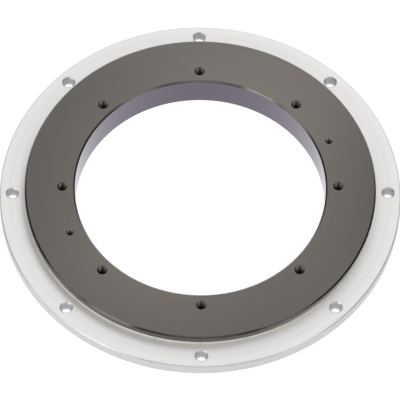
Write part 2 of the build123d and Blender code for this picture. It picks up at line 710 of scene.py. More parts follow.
@dataclass(frozen=True)
class PlateRing:
    """Flat plate ring: plain holes near its rim, and a notch in its inner edge for each lug."""

    holes: HolePattern
    rim_radius: float
    bottom: float
    top: float
    inner_radius: float = 91.6
    notch: Lug = Lug(91.6, 94.65, 2.55)
    notches: HolePattern = HolePattern(91.6, 0.0, 24, 7.5)
    rim_chamfer: float = 0.5
    hole_chamfer: float = 0.7
    hole_steps: int = 64
    hole_row: float = 0.4
    arc_steps: int = 10

    @classmethod
    def from_frame(cls) -> "PlateRing":
        """Takes the ring's height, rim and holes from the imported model."""
        low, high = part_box("plate_ring")
        return cls(HolePattern.from_mount("plain_holes"), high.x / MM, low.z / MM, high.z / MM)

    def inner_outline(self) -> list[Flat]:
        """The inner edge, with its notches.

        Returns:
            Its points, once round.
        """
        points: list[Flat] = []
        gap = self.notch.half_angle()
        for index in range(self.notches.count):
            start = self.notches.angle(index)
            end = self.notches.angle(index + 1)
            points.extend(self.notch.outline(start))
            points.extend(arc(self.inner_radius, start + gap, end - gap, self.arc_steps)[1:-1])
        return points

    def hole_wall(self) -> list[SectionPoint]:
        """Section of one hole: a chamfer, the wall and a chamfer.

        Returns:
            The section's points, from the top face down.
        """
        radius = self.holes.hole_radius
        away = self.holes.circle_radius
        corners = [
            Corner(away, self.top),
            Corner(radius, self.top, self.hole_chamfer),
            Corner(radius, self.bottom, self.hole_chamfer),
            Corner(away, self.bottom),
        ]
        return subdivided(section(corners), self.hole_row)

    def depth_at(self, height: float) -> float:
        """How far below the nearer mouth's chamfer a height lies, in radii of the hole."""
        depth = min(self.top - height, height - self.bottom) - self.hole_chamfer
        return max(0.0, depth) / self.holes.hole_radius

    def build(self, material: bpy.types.Material) -> bpy.types.Object:
        """Makes the ring.

        Args:
            material: its finish.

        Returns:
            The ring's object.
        """
        draft = Draft()
        rim = section(
            [
                Corner(self.inner_radius, self.bottom),
                Corner(self.rim_radius, self.bottom, self.rim_chamfer),
                Corner(self.rim_radius, self.top, self.rim_chamfer),
                Corner(self.inner_radius, self.top),
            ]
        )
        wall = self.hole_wall()
        inner = self.inner_outline()
        draft.add_turned(rim, RING_STEPS)
        draft.add_wall(inner, self.bottom, self.top)
        for centre in self.holes.centres():
            first = len(draft.spots)
            draft.add_turned(wall, self.hole_steps, centre)
            draft.mark_depth(first, self.depth_at)
        for height, radius in ((self.bottom, rim[0].radius), (self.top, rim[-1].radius)):
            mouths = [circle(wall[0].radius, self.hole_steps, c) for c in self.holes.centres()]
            draft.add_fill(circle(radius, RING_STEPS), [inner, *mouths], height)
        piece = draft.build("plate_ring_turned", material)
        place_piece(piece, Body.FIXED, Slot.CLEAR_ANODISED, "plate_ring")
        return piece


@dataclass(frozen=True)
class HubRing:
    """Upper flange, hub and spigot in one turned piece, with its tapped holes."""

    tapped: HolePattern
    bore_radius: float
    flange_radius: float
    top: float
    spigot_radius: float = 78.0
    hub_radius: float = 89.0
    shoulder: float = 3.0
    flange_bottom: float = 16.0
    corner_radius: float = 0.4
    edge_chamfer: float = 1.0
    bore_edge_wear: float = 0.4
    inner_chamfer: float = 0.4
    clamps: HolePattern = HolePattern(84.0, 1.65, 8, 22.5)
    open_clamps: tuple[int, ...] = (0, 4)
    load_thread: Thread = Thread(2.5, 3.0, 1.0)
    clamp_thread: Thread = Thread(1.65, 2.02, 0.7, turn_steps=32)
    load_chamfer: float = 0.55
    clamp_chamfer: float = 0.55
    clamp_depth: float = 11.0
    clamp_thread_depth: float = 9.6

    @classmethod
    def from_frame(cls) -> "HubRing":
        """Takes the ring's height, bore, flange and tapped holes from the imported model.

        Returns:
            The ring.
        """
        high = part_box("hub_ring")[1]
        bore = mount_sizes("centre_bore")["r_mm"]
        return cls(HolePattern.from_mount("tapped_holes"), bore, high.x / MM, high.z / MM)

    def load_hole(self) -> TappedHole:
        """One of the tapped holes in the top face."""
        return TappedHole(self.load_thread, 0.0, self.top, self.load_chamfer)

    def clamp_hole(self, runs_through: bool) -> TappedHole:
        """One of the tapped holes in the shoulder.

        Args:
            runs_through: whether it comes out of the top face.

        Returns:
            The hole.
        """
        return TappedHole(
            self.clamp_thread,
            self.shoulder,
            self.top,
            self.clamp_chamfer,
            opens_down=True,
            opens_up=runs_through,
            drill_depth=self.clamp_depth,
            thread_depth=self.clamp_thread_depth,
        )

    def inner_section(self) -> list[SectionPoint]:
        """From the top face through the bore and round the spigot to the shoulder.

        Returns:
            The section's points.
        """
        return section(
            [
                Corner(self.flange_radius, self.top),
                Corner(self.bore_radius, self.top, self.edge_chamfer, worked=self.bore_edge_wear),
                Corner(self.bore_radius, 0.0, self.inner_chamfer, worked=self.bore_edge_wear),
                Corner(self.spigot_radius, 0.0),
                Corner(self.spigot_radius, self.shoulder),
                Corner(self.hub_radius, self.shoulder),
            ]
        )

    def outer_section(self) -> list[SectionPoint]:
        """From the shoulder up the hub and round the flange to the top face.

        Returns:
            The section's points.
        """
        return section(
            [
                Corner(self.spigot_radius, self.shoulder),
                Corner(self.hub_radius, self.shoulder),
                Corner(self.hub_radius, self.flange_bottom, soft=self.corner_radius),
                Corner(self.flange_radius, self.flange_bottom, self.inner_chamfer),
                Corner(self.flange_radius, self.top, self.edge_chamfer),
                Corner(self.bore_radius, self.top),
            ]
        )

    def build(self, material: bpy.types.Material) -> bpy.types.Object:
        """Makes the ring.

        Args:
            material: its finish.

        Returns:
            The ring's object.
        """
        draft = Draft()
        inner, outer = self.inner_section(), self.outer_section()
        draft.add_turned(inner, RING_STEPS)
        draft.add_turned(outer, RING_STEPS)
        load_hole = self.load_hole()
        top_mouths = []
        for centre in self.tapped.centres():
            load_hole.add_to(draft, centre)
            top_mouths.append(load_hole.mouth(centre))
        shoulder_mouths = []
        for index, centre in enumerate(self.clamps.centres()):
            hole = self.clamp_hole(index in self.open_clamps)
            hole.add_to(draft, centre)
            shoulder_mouths.append(hole.mouth(centre))
            if hole.opens_up:
                top_mouths.append(hole.mouth(centre))
        top_edges = (circle(outer[-1].radius, RING_STEPS), circle(inner[0].radius, RING_STEPS))
        low_edges = (circle(outer[0].radius, RING_STEPS), circle(inner[-1].radius, RING_STEPS))
        draft.add_fill(top_edges[0], [top_edges[1], *top_mouths], self.top)
        draft.add_fill(low_edges[0], [low_edges[1], *shoulder_mouths], self.shoulder)
        piece = draft.build("hub_ring_turned", material)
        place_piece(piece, Body.TURNING, Slot.DARK_ANODISED, "hub_ring")
        return piece


@dataclass(frozen=True)
class RetainingRing:
    """Lower flange, countersunk from below for the clamp screws."""

    outer_radius: float
    top: float
    inner_radius: float = 78.05
    edge_chamfer: float = 1.0
    inner_chamfer: float = 0.4
    holes: HolePattern = HolePattern(84.0, 2.25, 8, 22.5)
    seat_radius: float = 4.05
    seat_rim: float = 0.5
    hole_steps: int = 48

    @classmethod
    def from_frame(cls) -> "RetainingRing":
        """Takes the ring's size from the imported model."""
        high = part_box("retaining_ring")[1]
        return cls(high.x / MM, high.z / MM)

    def hole_wall(self) -> list[SectionPoint]:
        """Section of one countersunk hole.

        Returns:
            The section's points, from below.
        """
        radius = self.holes.hole_radius
        neck = self.seat_rim + self.seat_radius - radius
        away = self.holes.circle_radius
        return section(
            [
                Corner(away, 0.0),
                Corner(self.seat_radius, 0.0),
                Corner(self.seat_radius, self.seat_rim),
                Corner(radius, neck),
                Corner(radius, self.top),
                Corner(away, self.top),
            ]
        )

    def build(self, material: bpy.types.Material) -> bpy.types.Object:
        """Makes the ring.

        Args:
            material: its finish.

        Returns:
            The ring's object.
        """
        draft = Draft()
        middle = (self.inner_radius + self.outer_radius) / 2
        inner = section(
            [
                Corner(middle, self.top),
                Corner(self.inner_radius, self.top, self.inner_chamfer),
                Corner(self.inner_radius, 0.0, self.inner_chamfer),
                Corner(middle, 0.0),
            ]
        )
        outer = section(
            [
                Corner(middle, 0.0),
                Corner(self.outer_radius, 0.0, self.edge_chamfer),
                Corner(self.outer_radius, self.top, self.inner_chamfer),
                Corner(middle, self.top),
            ]
        )
        wall = self.hole_wall()
        draft.add_turned(inner, RING_STEPS)
        draft.add_turned(outer, RING_STEPS)
        for centre in self.holes.centres():
            draft.add_turned(wall, self.hole_steps, centre)
        for height, rim, eye, mouth in (
            (0.0, outer[0], inner[-1], wall[0]),
            (self.top, outer[-1], inner[0], wall[-1]),
        ):
            mouths = [circle(mouth.radius, self.hole_steps, c) for c in self.holes.centres()]
            openings = [circle(eye.radius, RING_STEPS), *mouths]
            draft.add_fill(circle(rim.radius, RING_STEPS), openings, height)
        piece = draft.build("retaining_ring_turned", material)
        place_piece(piece, Body.TURNING, Slot.DARK_ANODISED, "retaining_ring")
        return piece


@dataclass(frozen=True)
class ClampScrews:
    """Countersunk socket screws that clamp the retaining ring, heads down."""

    bottom: float
    top: float
    places: HolePattern = HolePattern(84.0, 1.6, 8, 22.5)
    head_radius: float = 4.0
    head_rim: float = 0.3
    neck_radius: float = 2.0
    thread: Thread = Thread(1.6, 1.97, 0.7, turn_steps=32)
    thread_start: float = 3.0
    thread_runout: float = 0.7
    tip_chamfer: float = 0.5
    socket_width: float = 2.5
    socket_depth: float = 1.4
    socket_cone: float = 0.45
    pilot_share: float = 0.9
    head_steps: int = 48

    @classmethod
    def from_frame(cls) -> "ClampScrews":
        """Takes the screws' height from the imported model."""
        low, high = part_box("clamp_screws")
        return cls(low.z / MM, high.z / MM)

    def shank_radius(self, height: float, thread_radius: float) -> float:
        """Radius of the shank: the neck, which runs into the thread, and the chamfered tip.

        Args:
            height: height of the point.
            thread_radius: the full thread's radius there.

        Returns:
            The shank's radius there.
        """
        share = fade(height, self.thread_start, self.thread_start + self.thread_runout)
        radius = self.neck_radius + (thread_radius - self.neck_radius) * share
        tip = self.thread.minor_radius - self.tip_chamfer
        return min(radius, tip + self.top - height)

    def socket(self, centre: Flat) -> list[Flat]:
        """Outline of the hexagon socket."""
        return circle(self.socket_width / math.sqrt(3), HEXAGON_SIDES, centre)

    def add_screw(self, draft: Draft, centre: Flat) -> None:
        """Adds one screw.

        Args:
            draft: the mesh that it goes into.
            centre: where its axis stands.
        """
        cone_bottom = self.bottom + self.head_rim
        neck_height = cone_bottom + self.head_radius - self.neck_radius
        head = section(
            [
                Corner(0.0, self.bottom),
                Corner(self.head_radius, self.bottom),
                Corner(self.head_radius, cone_bottom),
                Corner(self.neck_radius, neck_height),
                Corner(self.neck_radius, self.top),
            ]
        )
        steps = self.thread.turn_steps
        floor = self.bottom + self.socket_depth
        pilot = self.socket_width / 2 * self.pilot_share
        socket = self.socket(centre)
        draft.add_turned(head[:-1], self.head_steps, centre)
        draft.add_fill(
            circle(head[-2].radius, self.head_steps, centre),
            [circle(self.neck_radius, steps, centre)],
            head[-2].height,
        )
        neck = [
            SectionPoint(self.neck_radius, head[-2].height),
            SectionPoint(self.neck_radius, self.thread_start),
        ]
        draft.add_turned(neck, steps, centre)
        draft.add_fill(circle(head[0].radius, self.head_steps, centre), [socket], self.bottom)
        draft.add_wall(socket, self.bottom, floor)
        draft.add_fill(socket, [circle(pilot, steps, centre)], floor)
        cone = [SectionPoint(pilot, floor), SectionPoint(0.0, floor + self.socket_cone)]
        draft.add_turned(cone, steps, centre)
        self.thread.add_surface(draft, centre, self.thread_start, self.top, self.shank_radius)
        tip = self.thread.minor_radius - self.tip_chamfer
        draft.add_fill(circle(tip, steps, centre), [], self.top)

    def build(self, material: bpy.types.Material) -> bpy.types.Object:
        """Makes all the screws as one object.

        Args:
            material: their finish.

        Returns:
            The screws' object.
        """
        draft = Draft()
        for centre in self.places.centres():
            self.add_screw(draft, centre)
        piece = draft.build("clamp_screws_threaded", material)
        place_piece(piece, Body.TURNING, Slot.SCREW_STEEL, "clamp_screws")
        return piece


@dataclass(frozen=True)
class Sliders:
    """Moulded U-shaped sliders over the plate ring's inner edge, each held by a lug."""

    plate_bottom: float
    plate_top: float
    bottom: float
    top: float
    places: HolePattern = HolePattern(89.05, 0.0, 24, 7.5)
    inner_radius: float = 89.05
    bridge_radius: float = 91.55
    outer_radius: float = 104.5
    lug: Lug = Lug(91.55, 94.6, 2.5)
    end_gap: float = 0.4
    corner_chamfer: float = 0.6
    lip_chamfer: float = 0.3
    end_steps: int = 6
    lug_steps: int = 24

    @classmethod
    def from_frame(cls, plate: PlateRing) -> "Sliders":
        """Takes the sliders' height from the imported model.

        Args:
            plate: the ring that they sit on.

        Returns:
            The sliders.
        """
        low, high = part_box("slider_01")
        return cls(plate.bottom, plate.top, low.z / MM, high.z / MM)

    def outer_section(self) -> list[SectionPoint]:
        """From the upper lip's underside round the outside of the U to the lower lip's top.

        Returns:
            The section's points.
        """
        middle = (self.bridge_radius + self.outer_radius) / 2
        return section(
            [
                Corner(middle, self.plate_top),
                Corner(self.outer_radius, self.plate_top),
                Corner(self.outer_radius, self.top, self.lip_chamfer),
                Corner(self.inner_radius, self.top, self.corner_chamfer),
                Corner(self.inner_radius, self.bottom, self.corner_chamfer),
                Corner(self.outer_radius, self.bottom, self.lip_chamfer),
                Corner(self.outer_radius, self.plate_bottom),
                Corner(middle, self.plate_bottom),
            ]
        )

    def angles(self) -> list[float]:
        """Where the sweep's stations lie about the lug's centre.

        Returns:
            Their angles from one end to the other, in radians.
        """
        half = math.pi / self.places.count - self.end_gap / 2 / self.outer_radius
        foot = self.lug.half_angle()
        before = [-half + (half - foot) * step / self.end_steps for step in range(self.end_steps)]
        between = [foot * (2 * step / self.lug_steps - 1) for step in range(self.lug_steps + 1)]
        return [*before, *between, *[-angle for angle in reversed(before)]]

    def build_one(self, number: int, material: bpy.types.Material) -> bpy.types.Object:
        """Makes one slider.

        Args:
            number: its number, from 1.
            material: its finish.

        Returns:
            The slider's object.
        """
        centre = self.places.angle(number - 1)
        stations = [centre + angle for angle in self.angles()]
        outside = self.outer_section()
        draft = Draft()
        rows = []
        for angle in stations:
            rows.append([Spot(*polar(p.radius, angle), p.height, p.edge) for p in outside])
        draft.add_grid(rows, closed=False)
        inner_line = self.inner_line(centre, stations)
        draft.add_wall(inner_line, self.plate_bottom, self.plate_top, closed=False)
        for height, radius in ((self.plate_top, outside[0].radius), (self.plate_bottom, outside[-1].radius)):
            lip_line = [polar(radius, angle) for angle in reversed(stations)]
            draft.add_fill([*inner_line, *lip_line], [], height)
        for angle, row in ((stations[0], rows[0]), (stations[-1], rows[-1])):
            x, y = polar(self.bridge_radius, angle)
            draft.add_cap([*row, Spot(x, y, self.plate_bottom), Spot(x, y, self.plate_top)])
        node = f"slider_{number:02d}"
        piece = draft.build(f"{node}_moulded", material)
        place_piece(piece, Body.FIXED, Slot.SLIDER_POLYMER, node)
        return piece

    def inner_line(self, centre: float, stations: Sequence[float]) -> list[Flat]:
        """The bridge's outer face with the lug, in plan, from one end to the other.

        Args:
            centre: where the lug stands, in radians.
            stations: where the sweep's stations lie, in radians.

        Returns:
            The points.
        """
        ends = self.end_steps
        line = [polar(self.bridge_radius, angle) for angle in stations]
        return [*line[:ends], *self.lug.outline(centre), *line[-ends:]]

    def build(self, material: bpy.types.Material) -> list[bpy.types.Object]:
        """Makes all the sliders.

        Args:
            material: their finish.

        Returns:
            The sliders' objects.
        """
        return [self.build_one(number, material) for number in range(1, self.places.count + 1)]


def opaque(colour: Colour | Socket) -> Any:
    """Gives a colour the alpha that its socket takes. A socket stays as it is."""
    return colour if isinstance(colour, Socket) else (*colour, 1.0)


class Wiring:
    """A node tree, with short ways to add nodes and wire them as they come."""

    def __init__(self, tree: bpy.types.NodeTree) -> None:
        """Takes the tree to work in."""
        self.tree = tree

    def node(self, kind: str, inputs: Mapping[Any, Any] | None = None, **options: Any) -> Node:
        """Adds a node.

        Args:
            kind: the node's type.
            inputs: for each of its inputs, by name or number, a value or the socket that feeds it.
            options: the node's own settings.

        Returns:
            The node.
        """
        made = self.tree.nodes.new(kind)
        for name, value in options.items():
            setattr(made, name, value)
        for key, value in (inputs or {}).items():
            if isinstance(value, Socket):
                self.tree.links.new(value, made.inputs[key])
            else:
                made.inputs[key].default_value = value
        return made

    def group(self, effect: "Effect", inputs: Mapping[str, Any]) -> Node:
        """Places a shared effect.

        Args:
            effect: the effect.
            inputs: its inputs by name. The others keep the effect's own values.

        Returns:
            The group's node.
        """
        return self.node("ShaderNodeGroup", inputs, node_tree=effect.tree())

    def maths(self, operation: str, *values: Any, clamped: bool = False) -> Socket:
        """Adds a Math node.

        Args:
            operation: what it works out.
            values: its inputs, numbers or sockets.
            clamped: whether its result is kept from 0 to 1.

        Returns:
            Its result.
        """
        made = self.node("ShaderNodeMath", dict(enumerate(values)), operation=operation, use_clamp=clamped)
        return made.outputs[0]

    def millimetres(self) -> Socket:
        """Adds the nodes that give the place on the piece.

        Returns:
            The place, in millimetres.
        """
        inputs = {0: self.node("ShaderNodeTexCoord").outputs["Object"], "Scale": 1 / MM}
        return self.node("ShaderNodeVectorMath", inputs, operation="SCALE").outputs[0]

    def length(self, vector: Socket) -> Socket:
        """Adds a node that gives a vector's length."""
        return self.node("ShaderNodeVectorMath", {0: vector}, operation="LENGTH").outputs["Value"]

    def axis_distance(self, place: Socket) -> Socket:
        """Adds the nodes that give a place's distance from the axis of rotation.

        Args:
            place: the place.

        Returns:
            The distance.
        """
        flat = self.node("ShaderNodeVectorMath", {0: place, 1: (1.0, 1.0, 0.0)}, operation="MULTIPLY")
        return self.length(flat.outputs[0])

    def noise(self, inputs: Mapping[str, Any], dimensions: str = "3D") -> Socket:
        """Adds a noise texture.

        Args:
            inputs: for each of its inputs, by name, a value or the socket that feeds it.
            dimensions: 3D where it is read at a vector, 1D where it is read at W.

        Returns:
            The noise, which keeps near the middle of its range.
        """
        return self.node("ShaderNodeTexNoise", inputs, noise_dimensions=dimensions).outputs["Fac"]

    def mapped(
        self,
        value: Socket,
        start: Any,
        end: Any,
        low: Any = 0.0,
        high: Any = 1.0,
        smooth: bool = False,
    ) -> Socket:
        """Maps a value from one range to another, and holds it at the ends.

        Args:
            value: the value.
            start: the value that gives low.
            end: the value that gives high.
            low: the result at the start.
            high: the result at the end.
            smooth: whether it eases in and out.

        Returns:
            The mapped value.
        """
        inputs = {"Value": value, "From Min": start, "From Max": end, "To Min": low, "To Max": high}
        kind = "SMOOTHSTEP" if smooth else "LINEAR"
        return self.node("ShaderNodeMapRange", inputs, interpolation_type=kind).outputs["Result"]

    def spread(self, noise: Socket, low: float, high: float) -> Socket:
        """Maps noise, which keeps near its middle, to the whole of a range.

        Args:
            noise: the noise.
            low: the range's low end.
            high: the range's high end.

        Returns:
            The mapped value.
        """
        return self.mapped(noise, *NOISE_RANGE, low, high)

    def blend(self, share: Socket, first: Colour | Socket, second: Colour | Socket) -> Socket:
        """Mixes two colours.

        Args:
            share: how much of the second colour shows.
            first: the first colour, as a colour or a socket.
            second: the second colour, as a colour or a socket.

        Returns:
            The mixed colour.
        """
        inputs = {MIX_SHARE: share, MIX_FIRST: opaque(first), MIX_SECOND: opaque(second)}
        return self.node("ShaderNodeMix", inputs, data_type="RGBA").outputs[MIX_RESULT]

    def bumped(self, height: Socket) -> Socket:
        """Adds a bump.

        Args:
            height: the surface's height, in millimetres.

        Returns:
            The normal.
        """
        inputs = {"Height": height, "Distance": MM, "Strength": 1.0}
        return self.node("ShaderNodeBump", inputs).outputs["Normal"]

    def choose(self, share: Socket, first: Socket, second: Socket) -> Socket:
        """Mixes two shaders.

        Args:
            share: how much of the second shader shows.
            first: the first shader.
            second: the second shader.

        Returns:
            The mixed shader.
        """
        return self.node("ShaderNodeMixShader", {0: share, 1: first, 2: second}).outputs[0]


class Effect:
    """A surface effect that several finishes share, as one node group that is built once.

    inputs gives the name and the value of each of the group's inputs, and outputs its outputs' names.
    """

    name: str = ""
    inputs: tuple[tuple[str, float], ...] = ()
    outputs: tuple[str, ...] = ()

    def tree(self) -> bpy.types.NodeTree:
        """The effect's node group, which is made when it is first asked for."""
        return bpy.data.node_groups.get(self.name) or self.build()

    def build(self) -> bpy.types.NodeTree:
        """Makes the effect's node group.

        Returns:
            The node group.
        """
        made = bpy.data.node_groups.new(self.name, "ShaderNodeTree")
        for name, value in self.inputs:
            socket = made.interface.new_socket(name, in_out="INPUT", socket_type="NodeSocketFloat")
            socket.default_value = value
        for name in self.outputs:
            made.interface.new_socket(name, in_out="OUTPUT", socket_type="NodeSocketFloat")
        wiring = Wiring(made)
        source = wiring.node("NodeGroupInput")
        results = self.wire(wiring, {name: source.outputs[name] for name, _ in self.inputs})
        wiring.node("NodeGroupOutput", results)
        return made

    def wire(self, wiring: Wiring, given: Mapping[str, Socket]) -> dict[str, Socket]:
        """Wires the group's inside.

        Args:
            wiring: the group's tree.
            given: the group's inputs.

        Returns:
            A socket for each of its outputs.
        """
        raise NotImplementedError


class TurnedLines(Effect):
    """Fine lines that a turning tool leaves round the axis, on faces and walls alike."""

    name = "Turned lines"
    inputs = (("Spacing", 0.3), ("Band Width", 4.0))
    outputs = ("Height", "Tone")
    line_detail: float = 2.0
    band_detail: float = 5.0
    wander: float = 0.5
    wander_scale: float = 0.03
    wander_detail: float = 1.0

    def wire(self, wiring: Wiring, given: Mapping[str, Socket]) -> dict[str, Socket]:
        """Reads noise along the section's length, so that it's the same all the way round.

        Args:
            wiring: the group's tree.
            given: the lines' spacing and the width of the bands of tone.

        Returns:
            The lines' height and the bands' tone.
        """
        place = wiring.millimetres()
        height = wiring.node("ShaderNodeSeparateXYZ", {0: place}).outputs[2]
        along = wiring.maths("ADD", wiring.axis_distance(place), height)
        drift = wiring.noise({"Vector": place, "Scale": self.wander_scale, "Detail": self.wander_detail})
        along = wiring.maths("MULTIPLY_ADD", drift, self.wander, along)
        results = {}
        for name, width, detail in (
            ("Height", given["Spacing"], self.line_detail),
            ("Tone", given["Band Width"], self.band_detail),
        ):
            step = wiring.maths("DIVIDE", along, width)
            results[name] = wiring.noise({"W": step, "Scale": 1.0, "Detail": detail}, "1D")
        return results


class SatinGrain(Effect):
    """Fine even grain of an etched or moulded surface."""

    name = "Satin grain"
    inputs = (("Grain Size", 0.12),)
    outputs = ("Height", "Tone")
    grain_detail: float = 2.0
    tone_detail: float = 4.0
    tone_scale: float = 0.12

    def wire(self, wiring: Wiring, given: Mapping[str, Socket]) -> dict[str, Socket]:
        """Reads fine noise for the height, and the same noise spread wider for the tone.

        Args:
            wiring: the group's tree.
            given: the grain's size.

        Returns:
            The grain's height and the tone.
        """
        place = wiring.millimetres()
        scale = wiring.maths("DIVIDE", 1.0, given["Grain Size"])
        wide = wiring.maths("MULTIPLY", scale, self.tone_scale)
        return {
            "Height": wiring.noise({"Vector": place, "Scale": scale, "Detail": self.grain_detail}),
            "Tone": wiring.noise({"Vector": place, "Scale": wide, "Detail": self.tone_detail}),
        }


class HandlingMarks(Effect):
    """Faint patches where the surface was touched and wiped."""

    name = "Handling marks"
    inputs = (("Patch Size", 30.0), ("Cover", 0.5))
    outputs = ("Mask",)
    detail: float = 3.0
    distortion: float = 0.6
    fine_scale: float = 9.0
    bare_level: float = 0.95
    patch_edge: float = 0.25

    def wire(self, wiring: Wiring, given: Mapping[str, Socket]) -> dict[str, Socket]:
        """Cuts soft patches from wide noise, and breaks them up with finer noise.

        Args:
            wiring: the group's tree.
            given: the patches' size, and how much of the surface they cover.

        Returns:
            The mask.
        """
        place = wiring.millimetres()
        scale = wiring.maths("DIVIDE", 1.0, given["Patch Size"])
        fine_scale = wiring.maths("MULTIPLY", scale, self.fine_scale)
        wide = wiring.noise(
            {"Vector": place, "Scale": scale, "Detail": self.detail, "Distortion": self.distortion}
        )
        fine = wiring.noise({"Vector": place, "Scale": fine_scale, "Detail": self.detail})
        low = wiring.maths("SUBTRACT", self.bare_level, given["Cover"])
        high = wiring.maths("ADD", low, self.patch_edge)
        patch = wiring.mapped(wide, low, high, smooth=True)
        return {"Mask": wiring.maths("MULTIPLY", patch, fine)}


class EdgeRub(Effect):
    """Where worked edges show, as the mesh marks them."""

    name = "Edge rub"
    inputs = (("Amount", 0.5), ("Break Up", 0.5))
    outputs = ("Mask",)
    scale: float = 0.35
    detail: float = 5.0

    def wire(self, wiring: Wiring, given: Mapping[str, Socket]) -> dict[str, Socket]:
        """Takes the edges that the mesh marks, and breaks them up with noise.

        Args:
            wiring: the group's tree.
            given: how much the edges show, and how unevenly.

        Returns:
            The mask.
        """
        edge = wiring.node("ShaderNodeAttribute", attribute_name=Mark.EDGE.value).outputs["Fac"]
        noise = wiring.noise({"Vector": wiring.millimetres(), "Scale": self.scale, "Detail": self.detail})
        swing = wiring.maths("SUBTRACT", noise, NOISE_MIDDLE)
        uneven = wiring.maths("MULTIPLY_ADD", swing, given["Break Up"], NOISE_MIDDLE)
        full = wiring.maths("MULTIPLY", uneven, 1 / NOISE_MIDDLE)
        share = wiring.maths("MULTIPLY", edge, given["Amount"])
        return {"Mask": wiring.maths("MULTIPLY", share, full, clamped=True)}


class HoleShade(Effect):
    """Painted shade down a hole's wall, which grows the deeper the wall lies."""

    name = "Hole shade"
    inputs = (("Reach", 1.3),)
    outputs = ("Mask",)

    def wire(self, wiring: Wiring, given: Mapping[str, Socket]) -> dict[str, Socket]:
        """Takes the depth that the mesh marks, and lets the mask grow with its square towards 1.

        Args:
            wiring: the group's tree.
            given: the depth at which the mask is well under way, in radii of the hole.

        Returns:
            The mask.
        """
        depth = wiring.node("ShaderNodeAttribute", attribute_name=Mark.DEPTH.value).outputs["Fac"]
        share = wiring.maths("DIVIDE", depth, given["Reach"])
        square = wiring.maths("MULTIPLY", share, share)
        left = wiring.maths("EXPONENT", wiring.maths("MULTIPLY", square, -1.0))
        return {"Mask": wiring.maths("SUBTRACT", 1.0, left)}


# Its mask places painted shade towards a ring's rim, and its bore output a painted violet reflection tint.
class FaceFade(Effect):
    """How far out a spot lies on a faced ring, and whether it lies on the wall of the bore."""

    name = "Face fade"
    inputs = (("Inner Radius", 75.3), ("Outer Radius", 105.0), ("Amount", 0.5))
    outputs = ("Mask", "Bore")

    def wire(self, wiring: Wiring, given: Mapping[str, Socket]) -> dict[str, Socket]:
        """Reads the distance from the axis of rotation.

        Args:
            wiring: the group's tree.
            given: the radii that the face lies between, and the mask's level at the outer one.

        Returns:
            The mask, and 1 inside the inner radius.
        """
        radius = wiring.axis_distance(wiring.millimetres())
        inner = given["Inner Radius"]
        return {
            "Mask": wiring.mapped(radius, inner, given["Outer Radius"], high=given["Amount"]),
            "Bore": wiring.maths("LESS_THAN", radius, inner),
        }


@dataclass(frozen=True)
class Finish:
    """A finish, as a material whose surface its own class wires."""

    name: str

    def build(self) -> bpy.types.Material:
        """Makes the material.

        Returns:
            The material.
        """
        material = bpy.data.materials.new(self.name)
        material.use_nodes = True
        material.node_tree.nodes.clear()
        wiring = Wiring(material.node_tree)
        wiring.node("ShaderNodeOutputMaterial", {"Surface": self.wire(wiring)})
        return material

    def wire(self, wiring: Wiring) -> Socket:
        """Wires the finish.

        Args:
            wiring: the material's tree.

        Returns:
            The shader that the surface shows.
        """
        raise NotImplementedError


@dataclass(frozen=True)
class PaintedFaceShade:
    """Painted shade over a faced ring, darker towards the rim, and a painted violet reflection tint in the
    bore.
    """

    outer_colour: Colour
    outer_amount: float
    bore_colour: Colour
    inner_radius: float
    outer_radius: float

    def wire(self, wiring: Wiring, colour: Socket) -> Socket:
        """Paints the shade towards the rim and the bore's reflection tint into a colour.

        Args:
            wiring: the material's tree.
            colour: the colour of the ring's face at its inner edge.

        Returns:
            The colour all over the ring.
        """
        sizes = {
            "Inner Radius": self.inner_radius,
            "Outer Radius": self.outer_radius,
            "Amount": self.outer_amount,
        }
        place = wiring.group(FaceFade(), sizes)
        colour = wiring.blend(place.outputs["Mask"], colour, self.outer_colour)
        return wiring.blend(place.outputs["Bore"], colour, self.bore_colour)


